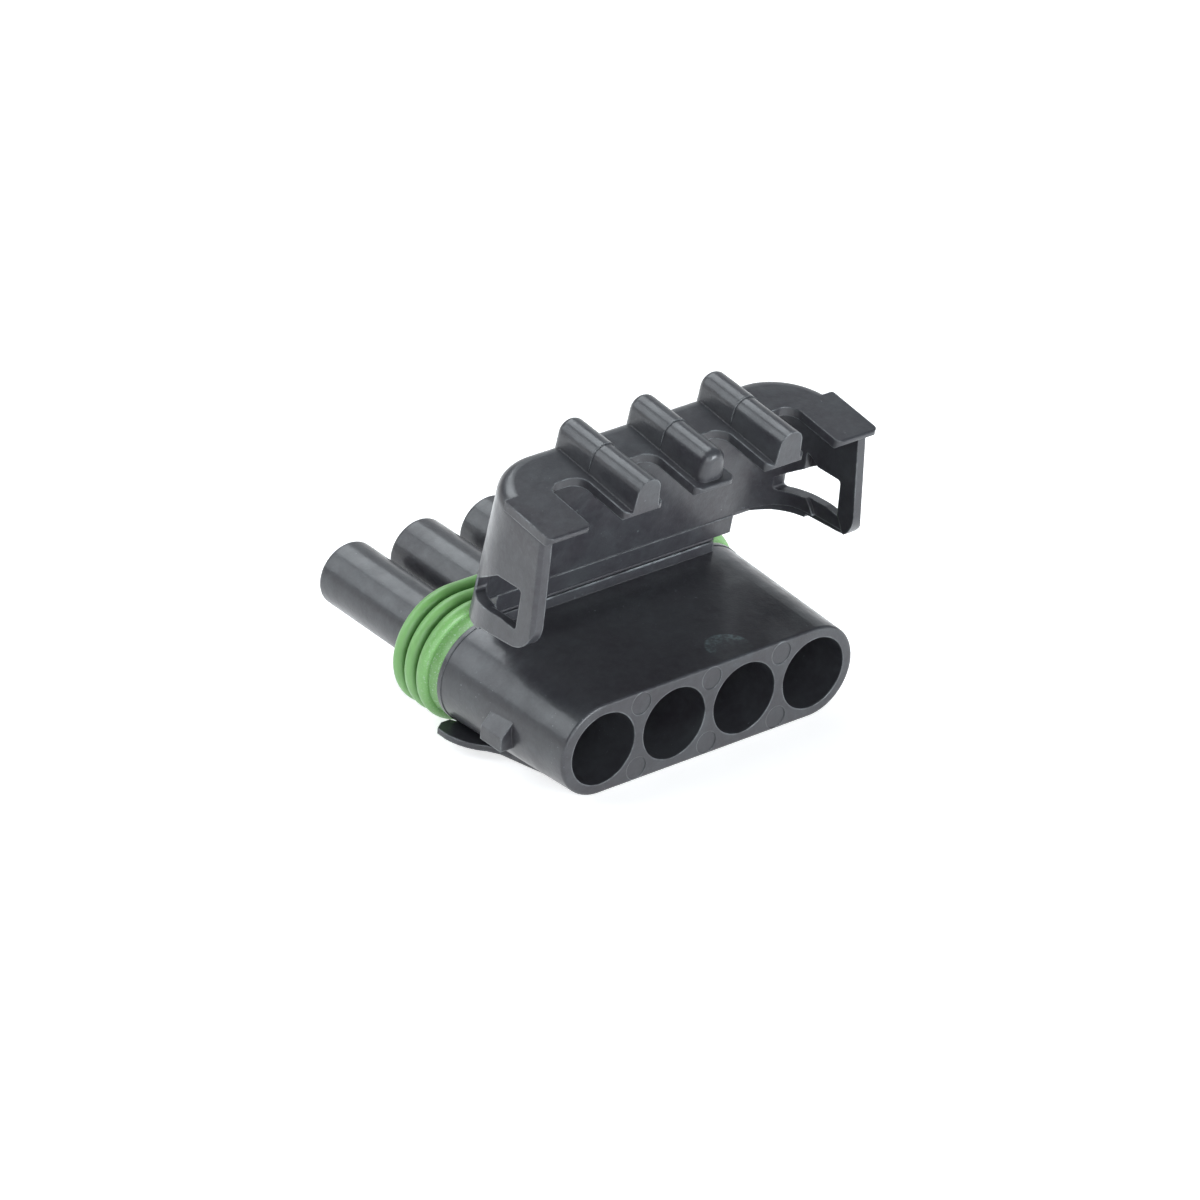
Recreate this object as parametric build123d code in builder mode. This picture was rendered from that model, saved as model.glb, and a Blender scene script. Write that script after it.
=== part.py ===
from build123d import *
from math import cos, radians, sin
import os

# Four-way sealed in-line electrical connector half with plug towers, in millimetres.
# X runs across the row of cavities, Y from the wire end to the tower tips, and Z up.
# The origin is the middle of the row, in the face that the wires enter.
# Three nodes: the moulded housing, its folding lock flap and the ring seal.

# Row of cavities
cavity_count = 4
cavity_pitch = 7.0
cavity_x = [(i - (cavity_count - 1) / 2) * cavity_pitch for i in range(cavity_count)]
web_x = [(i - (cavity_count - 2) / 2) * cavity_pitch for i in range(cavity_count - 1)]

# Housing body, a flat oval that widens from the wire end towards the seal
wire_end_width = 29.0
wire_end_height = 7.9
seal_end_width = 30.4
seal_end_height = 8.7
body_length = 14.3
collar_length = 0.4
collar_step = 0.06
wire_end_rounding = 0.25

# Bores: a smooth seal bore, the terminal chamber and the pin entry in the tower tip
seal_bore_diameter = 6.14
seal_bore_depth = 9.4
terminal_bore_diameter = 4.2
pin_entry_diameter = 2.9
pin_entry_length = 1.6
pin_entry_chamfer = 0.45

# Seal seat and towers
seat_width = 28.0
seat_height = 6.8
seat_length = 5.3
seat_rim_step = 0.25
seat_rim_length = 0.5
tower_diameter = 5.48
tower_tip_y = 31.9
tower_tip_rounding = 0.35

# Ejector pin marks between the bores
mark_radius = 0.95
mark_offset = 2.85
mark_depth = 0.08

# Side tabs that the flap's windows close over
tab_reach = 15.75
tab_root = 13.8
tab_bottom = -1.55
tab_edge = -0.4
tab_ramp_top = 1.8
tab_start = 5.75
tab_length = 2.5

# Underside ramp, and the thin wings that spread beside its end
ramp_width = 24.6
ramp_start = 4.6
ramp_foot = (13.2, -5.5)
ramp_end_height = -4.95
wing_bottom = -4.42
wing_thickness = 0.5
wing_root = (12.3, 8.4)
wing_bend_start = (13.4, 10.1)
wing_bend_middle = (14.45, 11.5)
wing_side_front = (14.95, 13.2)
wing_side_back = (14.95, 14.25)
wing_tail = [(14.2, 14.75), (13.35, 14.75), (13.1, body_length)]

# Hinge: a bead along the flap's edge in a groove along the base wall
hinge_y = 13.4
hinge_z = 5.45
hinge_width = 22.0
bead_radius = 0.25
groove_radius = 0.3
base_front = 13.15
base_root = 3.4
base_rounding = 0.4

# Lock flap, seen along its own axes: "up" from the hinge along the flap's wall,
# and "out" from the wall towards the free edges of its side legs
flap_lean = 8.0
flap_foot_width = 33.3
flap_top_width = 32.2
flap_corner_radius = 5.5
flap_wall = 0.95
flap_inner_foot_width = 31.2
flap_inner_top_width = 30.2
flap_inner_corner_radius = 4.3
shell_start = 2.4
end_plate_top = 15.25
end_plate_thickness = 0.8
end_plate_reach = 10.0
end_plate_back_radius = 1.2
leg_bottom = [(0, 2.4), (1.0, 2.5), (2.0, 2.85), (3.2, 3.1), (4.5, 3.35), (4.6, 3.65)]
leg_bottom_free = (10.5, 4.88)
leg_top_free = (9.1, end_plate_top - end_plate_thickness)
leg_corner_radius = 2.5
leg_edge_chamfer = 0.3
rebate_depth = 0.45
rebate_top = [(1.0, 2.75), (1.5, 3.18), (2.4, 3.65), (3.4, 4.0), (5.6, 4.4), (11.5, 5.45)]
plate_front_undercut = 0.4
plate_front_rounding = 0.2

# Band along the hinge
band_width = 23.6
band_start = 0.35
band_end = 2.6
band_thickness = 1.03
band_chamfer = 0.6
web_thickness = 0.3

# Side windows, as out and up corners
window_corners = [(2.2, 5.1), (3.5, 5.3), (5.0, 5.55), (6.6, 5.85), (8.4, 5.93), (8.1, 9.4), (5.3, 8.95), (2.2, 6.35)]
window_rounding = 0.3

# Relief inside each leg that clears the side tab while the flap swings
relief_inner_radius = 7.3
relief_outer_radius = 10.5
relief_gap = 0.06
relief_depth = 0.8
relief_start = 4.2

# Lip round the free part of the end plate
lip_start = 4.4
lip_step = 0.15

# Wire notches and the tongues between them, in line with the closed cavities
notch_width = 3.34
notch_end = 4.35
notch_corner_radius = 1.2
tongue_corner_radius = 0.6

# Grip ribs on the tongues
rib_width = 2.5
rib_crest_radius = 1.08
rib_back_height = 2.1
rib_front_height = 2.6
rib_start = 0.1
rib_back_rounding = 0.7
rib_step_at = 4.5
rib_step = 0.1
rib_foot = 0.3
middle_rib_end = 9.5
nose_rounding = 0.7

# Ring seal: heights are measured out from the line through the seat's end centres
seal_length = 5.3
seal_sleeve_height = 4.45
seal_heel_height = 4.4
seal_heel_dip = (14.95, 4.36)
seal_rib_crest = 5.15
seal_rib_radius = 0.6
seal_rib_y = [16.05, 17.5, 18.95]

os.makedirs("parts", exist_ok=True)


def station(y):
    """Plane across the body at y, facing the wire end, with Z up in its sketches."""
    return Plane.XZ.offset(-y)


hinge_point = Vector(0, hinge_y, hinge_z)
up = Vector(0, -sin(radians(flap_lean)), cos(radians(flap_lean)))
out = Vector(0, -cos(radians(flap_lean)), -sin(radians(flap_lean)))


def flap_section(height):
    """Plane across the flap at a height above the hinge: X across, then out."""
    return Plane(hinge_point + up * height, x_dir=(1, 0, 0), z_dir=-up)


def flap_side(x):
    """Plane along the flap's side at x: out, then up, facing -X."""
    return Plane(hinge_point + Vector(x, 0, 0), x_dir=out, z_dir=(-1, 0, 0))


def flap_face(distance):
    """Plane along the flap's wall at a distance out from the hinge: X across, then up."""
    return Plane(hinge_point + out * distance, x_dir=(1, 0, 0), z_dir=out)


# Housing
with BuildPart() as housing:
    collar_start = body_length - collar_length
    with BuildSketch(station(0)):
        SlotOverall(wire_end_width, wire_end_height)
    with BuildSketch(station(collar_start)):
        SlotOverall(seal_end_width, seal_end_height)
    loft()
    fillet(housing.faces().sort_by(Axis.Y)[0].edges(), wire_end_rounding)

    with BuildSketch(station(collar_start)):
        SlotOverall(seal_end_width + 2 * collar_step, seal_end_height + 2 * collar_step)
    extrude(amount=-collar_length)

    # Seat for the ring seal, with a low rim that keeps the seal on
    with BuildSketch(station(body_length)):
        SlotOverall(seat_width, seat_height)
    extrude(amount=-seat_length)
    rim_start = body_length + seat_length
    with BuildSketch(station(rim_start)):
        SlotOverall(seat_width + 2 * seat_rim_step, seat_height + 2 * seat_rim_step)
    extrude(amount=-seat_rim_length)

    # Towers
    tower_start = rim_start + seat_rim_length
    with BuildSketch(station(tower_start)):
        with Locations([(x, 0) for x in cavity_x]):
            Circle(tower_diameter / 2)
    extrude(amount=tower_start - tower_tip_y)
    tips = housing.faces().filter_by(Axis.Y).group_by(Axis.Y)[-1]
    fillet(tips.edges(), tower_tip_rounding)

    # Hinge base wall on top, open along its upper front edge for the hinge bead
    with BuildSketch(Plane.XY.offset(base_root)):
        with Locations((0, (base_front + body_length) / 2)):
            Rectangle(hinge_width, body_length - base_front)
    extrude(amount=hinge_z - base_root)
    base_top_back = housing.edges().filter_by(Axis.X).filter_by_position(Axis.Z, hinge_z - 0.01, hinge_z + 0.01)
    fillet(base_top_back.sort_by(Axis.Y)[-1], base_rounding)
    with BuildSketch(Plane.YZ):
        with Locations((hinge_y, hinge_z)):
            Circle(groove_radius)
    extrude(amount=hinge_width, both=True, mode=Mode.SUBTRACT)

    # Underside ramp and wings
    with BuildSketch(Plane.YZ):
        with BuildLine():
            Polyline(
                (ramp_start, -seal_bore_diameter / 2 - 0.5),
                (ramp_start, -wire_end_height / 2),
                ramp_foot,
                (body_length, ramp_end_height),
                (body_length, -seal_bore_diameter / 2 - 0.5),
                close=True,
            )
        make_face()
    extrude(amount=ramp_width / 2, both=True)
    with BuildSketch(Plane.XY.offset(wing_bottom)):
        with BuildLine():
            Polyline((0, wing_root[1]), wing_root, wing_bend_start)
            ThreePointArc(wing_bend_start, wing_bend_middle, wing_side_front)
            Polyline(wing_side_front, wing_side_back, *wing_tail, (0, body_length), (0, wing_root[1]))
        make_face()
        mirror(about=Plane.YZ)
    extrude(amount=wing_thickness)

    # Side tabs, flat below and ramped above
    with BuildSketch(station(tab_start)):
        with BuildLine():
            Polyline(
                (tab_root, tab_bottom),
                (tab_reach, tab_bottom),
                (tab_reach, tab_edge),
                (tab_root, tab_ramp_top),
                close=True,
            )
        make_face()
        mirror(about=Plane.YZ)
    extrude(amount=-tab_length)

    # Stepped cavities from the wire end to the tower tips
    with BuildSketch(station(0)):
        with Locations([(x, 0) for x in cavity_x]):
            Circle(seal_bore_diameter / 2)
    extrude(amount=-seal_bore_depth, mode=Mode.SUBTRACT)
    with BuildSketch(station(seal_bore_depth)):
        with Locations([(x, 0) for x in cavity_x]):
            Circle(terminal_bore_diameter / 2)
    chamber_end = tower_tip_y - pin_entry_length
    extrude(amount=seal_bore_depth - chamber_end, mode=Mode.SUBTRACT)
    with BuildSketch(station(chamber_end)):
        with Locations([(x, 0) for x in cavity_x]):
            Circle(pin_entry_diameter / 2)
    extrude(amount=-pin_entry_length, mode=Mode.SUBTRACT)
    entry_edges = (
        housing.edges()
        .filter_by(GeomType.CIRCLE)
        .filter_by(lambda e: abs(e.radius - pin_entry_diameter / 2) < 0.01)
        .group_by(Axis.Y)[-1]
    )
    chamfer(entry_edges, pin_entry_chamfer)

    # Ejector pin marks in the webs between the bores
    with BuildSketch(station(0)):
        with Locations([(x, side * mark_offset) for x in web_x for side in (-1, 1)]):
            Circle(mark_radius)
    extrude(amount=-mark_depth, mode=Mode.SUBTRACT)

housing.part.label = "housing"
export_step(housing.part, "parts/housing.step")


def grip_rib(end, nose):
    """Grip rib on the middle of the end plate, rising to the front, with rounded ends."""
    foot_z = end_plate_top - rib_foot
    rise = (rib_front_height - rib_back_height) / (end_plate_reach - rib_start)
    with BuildPart() as rib:
        for start, stop, extra in ((rib_start, rib_step_at, rib_step), (rib_step_at, end, 0)):
            side = rib_crest_radius + extra
            foot = rib_width / 2
            for distance in (start, stop):
                height = rib_back_height + rise * (distance - rib_start)
                crest_z = end_plate_top + height - rib_crest_radius
                with BuildSketch(flap_face(distance)):
                    with BuildLine():
                        Polyline((-side, crest_z), (-foot, foot_z), (foot, foot_z), (side, crest_z))
                        ThreePointArc((side, crest_z), (0, crest_z + side), (-side, crest_z))
                    make_face()
            loft()
            if start == rib_start:
                back = rib.faces().sort_by(Axis.Y)[-1]
                fillet(back.edges().sort_by(Axis.Z)[1:], rib_back_rounding)
        if nose:
            front = rib.faces().sort_by(Axis.Y)[0]
            fillet(front.edges().sort_by(Axis.Z)[1:], nose)
    return rib.part


long_rib = grip_rib(end_plate_reach, 0)
middle_rib = grip_rib(middle_rib_end, nose_rounding)

# Lock flap
with BuildPart() as lock_flap:
    # Shell: a wall, two side legs and the end plate, as one moulded tray
    tray_depth = leg_bottom_free[0]
    free_slope = (leg_bottom_free[0] - leg_top_free[0]) / (leg_top_free[1] - leg_bottom_free[1])
    for height, width in ((shell_start, flap_foot_width), (end_plate_top, flap_top_width)):
        depth = leg_bottom_free[0] + free_slope * (leg_bottom_free[1] - height)
        with BuildSketch(flap_section(height)) as outer_plan:
            with Locations((0, depth / 2)):
                Rectangle(width, depth)
            fillet(outer_plan.vertices().group_by(Axis.Y)[0], flap_corner_radius)
            chamfer(outer_plan.vertices().group_by(Axis.Y)[-1], leg_edge_chamfer)
    loft()
    top_face = lock_flap.faces().sort_by(Axis.Z)[-1]
    back_edges = top_face.edges().filter_by(lambda e: (e @ 0.5 - hinge_point).dot(out) < flap_corner_radius - 0.1)
    fillet(back_edges, end_plate_back_radius)

    pocket_top = end_plate_top - end_plate_thickness
    for height, width in ((shell_start, flap_inner_foot_width), (pocket_top, flap_inner_top_width)):
        with BuildSketch(flap_section(height)) as inner_plan:
            with Locations((0, flap_wall + tray_depth / 2)):
                Rectangle(width, tray_depth)
            fillet(inner_plan.vertices().group_by(Axis.Y)[0], flap_inner_corner_radius)
    loft(mode=Mode.SUBTRACT)

    # Rebate that thins the lower edge of the legs and corners from inside
    with BuildSketch(flap_section(shell_start)) as rebate_plan:
        with Locations((0, flap_wall - rebate_depth + tray_depth / 2)):
            Rectangle(flap_inner_foot_width + 2 * rebate_depth, tray_depth)
        fillet(rebate_plan.vertices().group_by(Axis.Y)[0], flap_inner_corner_radius + rebate_depth)
    rebate_prism = extrude(amount=shell_start - pocket_top, mode=Mode.PRIVATE)
    with BuildSketch(flap_side(0)):
        with BuildLine():
            Polyline((rebate_top[0][0], 0), *rebate_top, (rebate_top[-1][0], 0), close=True)
        make_face()
    rebate_side = extrude(amount=flap_foot_width, both=True, mode=Mode.PRIVATE)
    add(rebate_prism & rebate_side, mode=Mode.SUBTRACT)

    # Lip round the free part of the end plate
    lip_width = flap_top_width + 2 * lip_step
    with BuildSketch(flap_section(pocket_top)) as lip_plan:
        with Locations((0, (lip_start + end_plate_reach) / 2)):
            Rectangle(lip_width, end_plate_reach - lip_start)
        chamfer(lip_plan.vertices().group_by(Axis.Y)[0], lip_step)
    extrude(amount=-end_plate_thickness)

    # Side outline of the legs and the end plate's overhang
    plate_front_top = (end_plate_reach, end_plate_top)
    with BuildSketch(flap_side(0)) as side_outline:
        with BuildLine():
            Polyline(
                *leg_bottom,
                leg_bottom_free,
                leg_top_free,
                (end_plate_reach - plate_front_undercut, leg_top_free[1]),
                (end_plate_reach, leg_top_free[1] + plate_front_undercut),
                plate_front_top,
                (0, end_plate_top),
                close=True,
            )
        make_face()
        fillet(side_outline.vertices().sort_by_distance(leg_bottom_free)[0], leg_corner_radius)
        fillet(side_outline.vertices().sort_by_distance(plate_front_top)[0], plate_front_rounding)
    extrude(amount=flap_foot_width, both=True, mode=Mode.INTERSECT)

    # Wire notches, which leave three tongues
    with BuildSketch() as tongue_plan:
        with Locations((0, end_plate_reach / 2)):
            Rectangle(lip_width, end_plate_reach)
        with Locations([(x, notch_end + tray_depth / 2) for x in cavity_x]):
            Rectangle(notch_width, tray_depth, mode=Mode.SUBTRACT)
        notch_corners = tongue_plan.vertices().filter_by(lambda v: abs(v.Y - notch_end) < 0.01)
        fillet(notch_corners, notch_corner_radius)
        fillet(tongue_plan.vertices().group_by(Axis.Y)[-1], tongue_corner_radius)
    with BuildSketch(flap_section(pocket_top)):
        with Locations((0, tray_depth / 2)):
            Rectangle(lip_width, tray_depth)
        add(tongue_plan.sketch, mode=Mode.SUBTRACT)
    extrude(amount=-2 * end_plate_thickness, mode=Mode.SUBTRACT)

    # Grip ribs: two run to the tongues' ends, the middle one stops in a round nose
    with Locations((web_x[0], 0), (web_x[2], 0)):
        add(long_rib)
    add(middle_rib)

    # Side windows, wrapping a little way round the corners
    with BuildSketch(flap_side(0)) as window_shape:
        with BuildLine():
            Polyline(*window_corners, close=True)
        make_face()
        window_ends = [window_shape.vertices().sort_by_distance(p)[0] for p in window_corners if p not in window_corners[1:4]]
        fillet(window_ends, window_rounding)
    extrude(amount=flap_foot_width, both=True, mode=Mode.SUBTRACT)

    # Relief inside the legs for the side tabs
    relief_reach = tab_reach + relief_gap
    for start in (-relief_reach, relief_reach - relief_depth):
        with BuildSketch(flap_side(start)):
            Circle(relief_outer_radius)
            Circle(relief_inner_radius, mode=Mode.SUBTRACT)
            with Locations((relief_start, 0)):
                Rectangle(
                    relief_outer_radius,
                    relief_outer_radius,
                    align=(Align.MIN, Align.MIN),
                    mode=Mode.INTERSECT,
                )
        extrude(amount=-relief_depth, mode=Mode.SUBTRACT)

    # Band along the hinge, the thin web below it and the hinge bead
    with BuildSketch(flap_side(-band_width / 2)):
        with BuildLine():
            Polyline(
                (0, band_start),
                (band_thickness - band_chamfer, band_start),
                (band_thickness, band_start + band_chamfer),
                (band_thickness, band_end),
                (0, band_end),
                close=True,
            )
        make_face()
    extrude(amount=-band_width)
    with BuildSketch(flap_side(-hinge_width / 2)):
        Circle(bead_radius)
        with Locations((0, band_start / 2)):
            Rectangle(web_thickness, band_start + 0.2)
    extrude(amount=-hinge_width)

lock_flap.part.label = "lock_flap"
export_step(lock_flap.part, "parts/lock_flap.step")


# Ring seal: its section, swept round the seat
seat_end = (seat_width - seat_height) / 2
seat_radius = seat_height / 2
with BuildPart() as ring_seal:
    with BuildLine(station(body_length)) as seat_line:
        Line((0, seat_radius), (seat_end, seat_radius))
        ThreePointArc((seat_end, seat_radius), (seat_end + seat_radius, 0), (seat_end, -seat_radius))
        Line((seat_end, -seat_radius), (-seat_end, -seat_radius))
        ThreePointArc((-seat_end, -seat_radius), (-seat_end - seat_radius, 0), (-seat_end, seat_radius))
        Line((-seat_end, seat_radius), (0, seat_radius))
    with BuildSketch(Plane.YZ):
        with BuildLine():
            corner = (body_length, seat_radius)
            point = (body_length, seal_heel_height)
            Line(corner, point)
            arc_start = seal_rib_crest - seal_rib_radius
            for y in seal_rib_y:
                if y == seal_rib_y[0]:
                    ThreePointArc(point, seal_heel_dip, (y - seal_rib_radius, arc_start))
                else:
                    Polyline(point, (y - seal_rib_radius, seal_sleeve_height), (y - seal_rib_radius, arc_start))
                point = (y - seal_rib_radius, arc_start)
                ThreePointArc(point, (y, seal_rib_crest), (y + seal_rib_radius, arc_start))
                Line((y + seal_rib_radius, arc_start), (y + seal_rib_radius, seal_sleeve_height))
                point = (y + seal_rib_radius, seal_sleeve_height)
            seal_end = body_length + seal_length
            Polyline(point, (seal_end, seal_sleeve_height), (seal_end, seat_radius), corner)
        make_face()
    sweep(path=seat_line.wires()[0])

ring_seal.part.label = "ring_seal"
export_step(ring_seal.part, "parts/ring_seal.step")
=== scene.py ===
import bpy
from mathutils import Matrix, Vector

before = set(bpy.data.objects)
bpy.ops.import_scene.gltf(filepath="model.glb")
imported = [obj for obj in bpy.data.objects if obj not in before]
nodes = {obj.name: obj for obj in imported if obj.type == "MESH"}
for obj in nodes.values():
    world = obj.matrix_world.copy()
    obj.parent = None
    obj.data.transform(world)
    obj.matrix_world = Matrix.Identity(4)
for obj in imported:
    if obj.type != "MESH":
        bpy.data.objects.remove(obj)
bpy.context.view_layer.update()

# Camera, looking over the wire end from its upper left, as fitted to the photograph
camera_place = Vector((-0.32109, -0.34649, 0.27804))
camera_right = Vector((0.77077, -0.63314, 0.07105))
camera_up = Vector((0.26740, 0.42268, 0.86593))
camera_forward = Vector((0.57830, 0.64842, -0.49509))
camera_data = bpy.data.cameras.new("camera")
camera_data.sensor_width = 36.0
camera_data.lens = 215.12
camera_data.clip_start = 0.01
camera_data.clip_end = 20.0
camera = bpy.data.objects.new("camera", camera_data)
bpy.context.scene.collection.objects.link(camera)
turn = Matrix((camera_right, camera_up, -camera_forward)).transposed()
camera.matrix_world = Matrix.Translation(camera_place) @ turn.to_4x4()
bpy.context.scene.camera = camera


def material(name):
    """A new node material and its principled shader."""
    made = bpy.data.materials.new(name)
    made.use_nodes = True
    return made, made.node_tree.nodes["Principled BSDF"]


def add(tree, kind, **values):
    """A shader node with its properties and input values set."""
    node = tree.nodes.new(kind)
    for key, value in values.items():
        if key in node.inputs:
            node.inputs[key].default_value = value
        else:
            setattr(node, key, value)
    return node


def noise(tree, place, scale, detail=3.0, roughness=0.55):
    """Noise over the object's own coordinates, with its scale in cycles per metre."""
    node = add(tree, "ShaderNodeTexNoise", Scale=scale, Detail=detail, Roughness=roughness)
    tree.links.new(place.outputs["Object"], node.inputs["Vector"])
    return node.outputs["Fac"]


def ramp(tree, source, stops, first, second):
    """A colour that goes from the first to the second as a value passes the two stops."""
    node = tree.nodes.new("ShaderNodeValToRGB")
    for element, stop, colour in zip(node.color_ramp.elements, stops, (first, second)):
        element.position = stop
        element.color = colour
    tree.links.new(source, node.inputs["Fac"])
    return node.outputs["Color"]


def map_range(tree, source, span, to):
    """A value rescaled from one range to another and held inside it."""
    node = tree.nodes.new("ShaderNodeMapRange")
    node.inputs["From Min"].default_value, node.inputs["From Max"].default_value = span
    node.inputs["To Min"].default_value, node.inputs["To Max"].default_value = to
    tree.links.new(source, node.inputs["Value"])
    return node.outputs["Result"]


def combine(tree, operation, first, second):
    """Two values put together by a math node."""
    node = add(tree, "ShaderNodeMath", operation=operation)
    tree.links.new(first, node.inputs[0])
    tree.links.new(second, node.inputs[1])
    return node.outputs["Value"]


def mix(tree, amount, first, second):
    """A colour that goes from the first, a socket, to the second, a constant."""
    node = add(tree, "ShaderNodeMix", data_type="RGBA")
    tree.links.new(amount, node.inputs["Factor"])
    tree.links.new(first, node.inputs["A"])
    node.inputs["B"].default_value = second
    return node.outputs["Result"]


def part_of(tree, vector, axis):
    """One coordinate of a vector."""
    node = tree.nodes.new("ShaderNodeSeparateXYZ")
    tree.links.new(vector, node.inputs["Vector"])
    return node.outputs[axis]


def spot_distance(tree, place, centre):
    """Distance in metres from a point of the object."""
    node = add(tree, "ShaderNodeVectorMath", operation="DISTANCE")
    node.inputs[1].default_value = centre
    tree.links.new(place.outputs["Object"], node.inputs[0])
    return node.outputs["Value"]


def openness(tree, reach):
    """How open the surface is within a short reach: less than 1 in inner corners."""
    node = add(tree, "ShaderNodeAmbientOcclusion", samples=6, only_local=True, Distance=reach)
    return node.outputs["AO"]


def thickness(tree, reach):
    """How deep the solid is within a short reach: less than 1 at outer edges."""
    node = add(tree, "ShaderNodeAmbientOcclusion", samples=6, inside=True, Distance=reach)
    return node.outputs["AO"]


def bump(tree, height, strength, distance, normal=None):
    """A normal tilted by a height, on top of another normal where one is given."""
    node = add(tree, "ShaderNodeBump", Strength=strength, Distance=distance)
    tree.links.new(height, node.inputs["Height"])
    if normal is not None:
        tree.links.new(normal, node.inputs["Normal"])
    return node.outputs["Normal"]


def half_round_mark_sheen(tree, place):
    """How strongly the painted sheen of the shallow half-round mark on the body's upper side
    shows at a point.
    """
    distance = spot_distance(tree, place, (0.00285, 0.00150, 0.0040))
    inside = map_range(tree, distance, (0.00195, 0.00180), (0.0, 1.0))
    middle = map_range(tree, distance, (0.00080, 0.00185), (0.25, 1.0))
    far_half = map_range(
        tree, part_of(tree, place.outputs["Object"], "Y"), (0.0012, 0.0021), (0.1, 1.0))
    fleck = noise(tree, place, scale=2600.0, detail=3.0, roughness=0.7)
    mark = map_range(tree, fleck, (0.46, 0.60), (0.15, 0.8))
    for share in (inside, middle, far_half):
        mark = combine(tree, "MULTIPLY", mark, share)
    return mark


def black_plastic():
    """Black moulded plastic, purple-black where clean, with bloom and dust, painted highlights on
    its edges and on a half-round mark, and painted shade in inner corners.
    """
    plastic, shader = material("housing_plastic")
    tree = plastic.node_tree
    place = tree.nodes.new("ShaderNodeTexCoord")

    clean = (0.026, 0.0225, 0.0285, 1.0)
    bloom = (0.042, 0.043, 0.048, 1.0)
    cloud = noise(tree, place, scale=150.0, detail=5.0, roughness=0.6)
    colour = ramp(tree, cloud, (0.32, 0.68), clean, bloom)

    # Fine mottling, and broader haze over it
    mottling = (0.052, 0.055, 0.060, 1.0)
    mottle = noise(tree, place, scale=1500.0, detail=4.0, roughness=0.7)
    colour = mix(tree, map_range(tree, mottle, (0.42, 0.66), (0.0, 0.45)), colour, mottling)
    haze = (0.066, 0.073, 0.078, 1.0)
    blotch = noise(tree, place, scale=420.0, detail=4.0, roughness=0.65)
    colour = mix(tree, map_range(tree, blotch, (0.52, 0.72), (0.0, 0.35)), colour, haze)

    # Painted sheen on the shallow half-round mark, lighter on its far half
    painted_mark_sheen = (0.17, 0.23, 0.235, 1.0)
    colour = mix(tree, half_round_mark_sheen(tree, place), colour, painted_mark_sheen)

    # Sparse dust, in patches
    dust = (0.22, 0.24, 0.25, 1.0)
    fleck = noise(tree, place, scale=3600.0, detail=2.0, roughness=0.6)
    speck = map_range(tree, fleck, (0.70, 0.74), (0.0, 0.6))
    patch = map_range(tree, noise(tree, place, scale=180.0, detail=2.0), (0.50, 0.62), (0.0, 1.0))
    colour = mix(tree, combine(tree, "MULTIPLY", patch, speck), colour, dust)

    # Painted highlights along the outer edges, broken up by noise, and painted shade in the inner
    # corners
    painted_edge_highlight = (0.32, 0.34, 0.355, 1.0)
    edge = map_range(tree, thickness(tree, 0.00020), (0.42, 0.80), (0.80, 0.0))
    edge_highlight_breakup = noise(tree, place, scale=700.0, detail=4.0, roughness=0.65)
    edge_highlight_breakup = map_range(tree, edge_highlight_breakup, (0.38, 0.62), (0.08, 1.0))
    colour = mix(tree, combine(tree, "MULTIPLY", edge, edge_highlight_breakup), colour, painted_edge_highlight)
    shade = (0.010, 0.010, 0.012, 1.0)
    nook = map_range(tree, openness(tree, 0.0007), (0.25, 0.85), (0.55, 0.0))
    colour = mix(tree, nook, colour, shade)
    tree.links.new(colour, shader.inputs["Base Color"])

    # Satin gloss. Below a roughness of about 0.28 the denoiser draws dark contour lines.
    smear = noise(tree, place, scale=480.0, detail=3.0, roughness=0.6)
    gloss = map_range(tree, smear, (0.34, 0.66), (0.29, 0.45))
    tree.links.new(gloss, shader.inputs["Roughness"])
    shader.inputs["IOR"].default_value = 1.48
    shader.inputs["Coat Weight"].default_value = 0.30
    shader.inputs["Coat Roughness"].default_value = 0.16

    # Rounded edges, the slow swell of moulded walls and a fine grain
    rounded = add(tree, "ShaderNodeBevel", samples=6, Radius=0.00016).outputs["Normal"]
    swell = noise(tree, place, scale=520.0)
    normal = bump(tree, swell, strength=0.38, distance=0.00012, normal=rounded)
    grain = noise(tree, place, scale=5200.0, detail=4.0, roughness=0.6)
    normal = bump(tree, grain, strength=0.28, distance=0.00004, normal=normal)
    tree.links.new(normal, shader.inputs["Normal"])
    return plastic


def green_rubber():
    """Green silicone: soft, a little translucent, with painted shade in the grooves, dusty near
    the body.
    """
    rubber, shader = material("seal_rubber")
    tree = rubber.node_tree
    place = tree.nodes.new("ShaderNodeTexCoord")

    deep = (0.180, 0.390, 0.118, 1.0)
    pale = (0.232, 0.462, 0.163, 1.0)
    colour = ramp(tree, noise(tree, place, scale=300.0), (0.35, 0.7), deep, pale)

    # Painted shade in the grooves
    shade = (0.030, 0.100, 0.022, 1.0)
    groove = map_range(tree, openness(tree, 0.0008), (0.30, 0.90), (0.60, 0.0))
    colour = mix(tree, groove, colour, shade)

    dust = (0.50, 0.62, 0.50, 1.0)
    near_body = map_range(
        tree, part_of(tree, place.outputs["Object"], "Y"), (0.0162, 0.0148), (0.0, 1.0))
    fleck = noise(tree, place, scale=6200.0, detail=2.0, roughness=0.6)
    speck = map_range(tree, fleck, (0.60, 0.65), (0.0, 0.75))
    colour = mix(tree, combine(tree, "MULTIPLY", near_body, speck), colour, dust)
    tree.links.new(colour, shader.inputs["Base Color"])

    gloss = map_range(tree, noise(tree, place, scale=700.0), (0.3, 0.7), (0.30, 0.44))
    tree.links.new(gloss, shader.inputs["Roughness"])
    shader.inputs["Subsurface Weight"].default_value = 0.15
    shader.inputs["Subsurface Radius"].default_value = (0.4, 1.0, 0.3)
    shader.inputs["Subsurface Scale"].default_value = 0.0005
    grain = noise(tree, place, scale=4800.0)
    tree.links.new(bump(tree, grain, strength=0.25, distance=0.00004), shader.inputs["Normal"])
    return rubber


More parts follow.
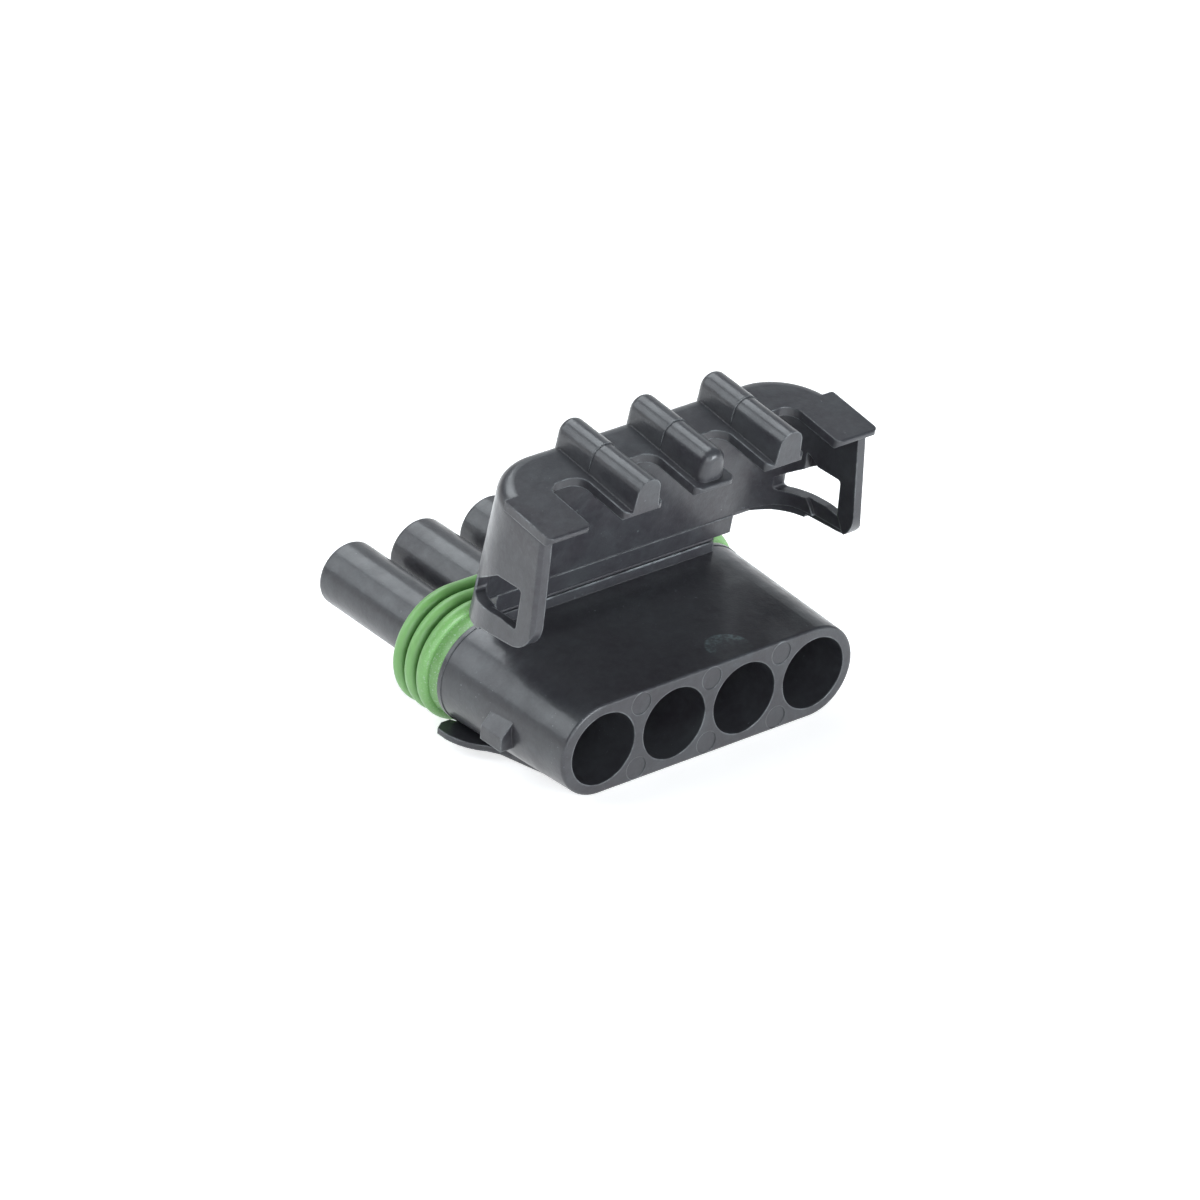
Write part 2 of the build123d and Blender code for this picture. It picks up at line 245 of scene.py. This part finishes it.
plastic = black_plastic()
rubber = green_rubber()
for name, made in (("housing", plastic), ("lock_flap", plastic), ("ring_seal", rubber)):
    slots = nodes[name].data.materials
    if len(slots):
        for i in range(len(slots)):
            slots[i] = made
    else:
        slots.append(made)


def white_paper():
    """Pale paper that is white where it is seen, except where the object shades it.

    Its glow is for the camera, for reflections and for rays through glass. It lights nothing.
    """
    paper, shader = material("paper")
    tree = paper.node_tree
    path = tree.nodes.new("ShaderNodeLightPath")
    seen = combine(tree, "ADD", path.outputs["Is Camera Ray"], path.outputs["Is Glossy Ray"])
    seen = combine(tree, "ADD", seen, path.outputs["Is Transmission Ray"])
    glow = map_range(tree, seen, (0.0, 1.0), (0.0, 0.66))
    tree.links.new(glow, shader.inputs["Emission Strength"])
    shader.inputs["Emission Color"].default_value = (1.0, 1.0, 1.0, 1.0)
    shader.inputs["Base Color"].default_value = (0.90, 0.90, 0.90, 1.0)
    shader.inputs["Roughness"].default_value = 0.9
    return paper


# Floor. The connector rests on its wire end's lower edge and its underside ramp, tipped up by
# 6.4 degrees, so in the object's own frame the floor slopes.
floor_normal = Vector((0.0, 0.1113, 0.9938)).normalized()
floor_point = Vector((0.0, 0.0, -0.00402))
reach = 2.0
floor_mesh = bpy.data.meshes.new("floor")
floor_corners = [(-reach, -reach, 0), (reach, -reach, 0), (reach, reach, 0), (-reach, reach, 0)]
floor_mesh.from_pydata(floor_corners, [], [(0, 1, 2, 3)])
floor_mesh.materials.append(white_paper())
floor = bpy.data.objects.new("floor", floor_mesh)
bpy.context.scene.collection.objects.link(floor)
slope = floor_normal.to_track_quat("Z", "Y").to_matrix().to_4x4()
floor.matrix_world = Matrix.Translation(floor_point) @ slope

# World: white to the camera, a white strip along the horizon to reflections and to rays through
# glass, and a dim room to everything else
world = bpy.data.worlds.new("studio")
bpy.context.scene.world = world
world.use_nodes = True
tree = world.node_tree
room = tree.nodes["Background"]
room.inputs["Color"].default_value = (0.90, 0.94, 1.0, 1.0)
room.inputs["Strength"].default_value = 0.14
white = add(tree, "ShaderNodeBackground", Color=(1.0, 1.0, 1.0, 1.0), Strength=1.0)
path = tree.nodes.new("ShaderNodeLightPath")
direction = tree.nodes.new("ShaderNodeTexCoord").outputs["Generated"]
strip = map_range(tree, part_of(tree, direction, "Z"), (0.10, 0.16), (1.0, 0.0))
bounced = combine(tree, "ADD", path.outputs["Is Glossy Ray"], path.outputs["Is Transmission Ray"])
reflected = combine(tree, "MULTIPLY", bounced, strip)
seen = combine(tree, "ADD", path.outputs["Is Camera Ray"], reflected)
choose = tree.nodes.new("ShaderNodeMixShader")
tree.links.new(seen, choose.inputs["Fac"])
tree.links.new(room.outputs["Background"], choose.inputs[1])
tree.links.new(white.outputs["Background"], choose.inputs[2])
tree.links.new(choose.outputs["Shader"], tree.nodes["World Output"].inputs["Surface"])

# Soft square lamps that face the middle of the object: name, place and power in watts
lamp_aim = Vector((0.0, 0.01, 0.006))
lamp_size = 0.38
lamp_colour = (0.90, 0.96, 1.0)
for name, place, power in (
    ("front_low", Vector((0.10, -0.58, 0.12)), 5.3),
    ("front_left", Vector((-0.38, -0.42, 0.18)), 1.5),
    ("back_top", Vector((0.05, 0.36, 0.46)), 2.0),
    ("back_left", Vector((-0.36, 0.36, 0.30)), 1.5),
    ("back_right", Vector((0.42, 0.40, 0.22)), 0.3),
):
    lamp_data = bpy.data.lights.new(name, "AREA")
    lamp_data.size = lamp_size
    lamp_data.energy = power
    lamp_data.color = lamp_colour
    lamp = bpy.data.objects.new(name, lamp_data)
    bpy.context.scene.collection.objects.link(lamp)
    lamp.location = place
    lamp.rotation_euler = (lamp_aim - place).to_track_quat("-Z", "Y").to_euler()

bpy.context.scene.view_settings.view_transform = "Standard"
